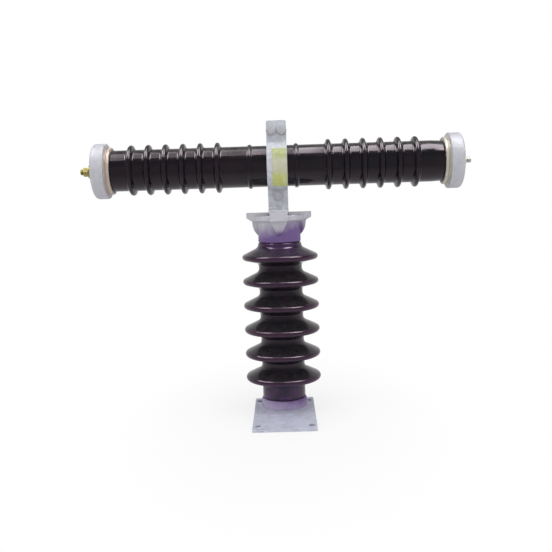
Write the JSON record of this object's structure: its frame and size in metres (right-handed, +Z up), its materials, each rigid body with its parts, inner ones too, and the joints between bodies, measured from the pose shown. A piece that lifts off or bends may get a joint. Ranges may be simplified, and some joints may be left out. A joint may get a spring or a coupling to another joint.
{
  "type": "high-voltage tube fuse on a post insulator",
  "caption": "Horizontal ribbed porcelain fuse tube with metal end caps, clamped across the top of a shedded porcelain post on a rectangular base plate.",
  "frame": {"origin": "centre of the rectangle of four base holes, on the underside of the base plate", "axes": "+X along the fuse tube to the right, +Y towards the back, +Z up"},
  "size_m": [0.786, 0.2431, 0.588],
  "materials": {
    "porcelain": "dark brown glaze, glossy",
    "galvanised_steel": "dull galvanised",
    "cast_fitting": "galvanised casting",
    "cement": "matt",
    "rubber": "matt",
    "label": "pale yellow-green, plain",
    "collar_metal": "yellowish plated",
    "cap_metal": "satin casting",
    "brass": "satin",
    "plated_stud": "plated",
    "link_ceramic": "matt",
    "sand": "packed quartz sand"
  },
  "bodies": {
    "root": {"base_plate": "galvanised_steel", "bottom_fitting": "cast_fitting", "bottom_cement": "cement", "fixing_screw": "galvanised_steel", "post_insulator": "porcelain", "top_cement": "cement", "top_fitting": "cast_fitting", "clamp_front": "galvanised_steel", "clamp_back": "galvanised_steel", "clamp_liner": "rubber", "top_clamp_bolts": "galvanised_steel", "lower_clamp_bolt": "galvanised_steel", "foot_bolts": "galvanised_steel", "label_plate": "label", "fuse_tube": "porcelain", "end_cement_left": "cement", "end_cement_right": "cement", "end_collar_left": "collar_metal", "end_collar_right": "collar_metal", "gasket_left": "rubber", "gasket_right": "rubber", "end_cap_left": "cap_metal", "end_cap_right": "cap_metal", "terminal_stud_left": "brass", "terminal_stud_right": "plated_stud", "terminal_nut_left": "brass", "terminal_nut_right": "plated_stud", "terminal_washer_left": "brass", "terminal_washer_right": "plated_stud", "link_tube": "link_ceramic", "link_sand": "sand", "link_ferrule_left": "brass", "link_ferrule_right": "brass"}
  },
  "joints": []
}
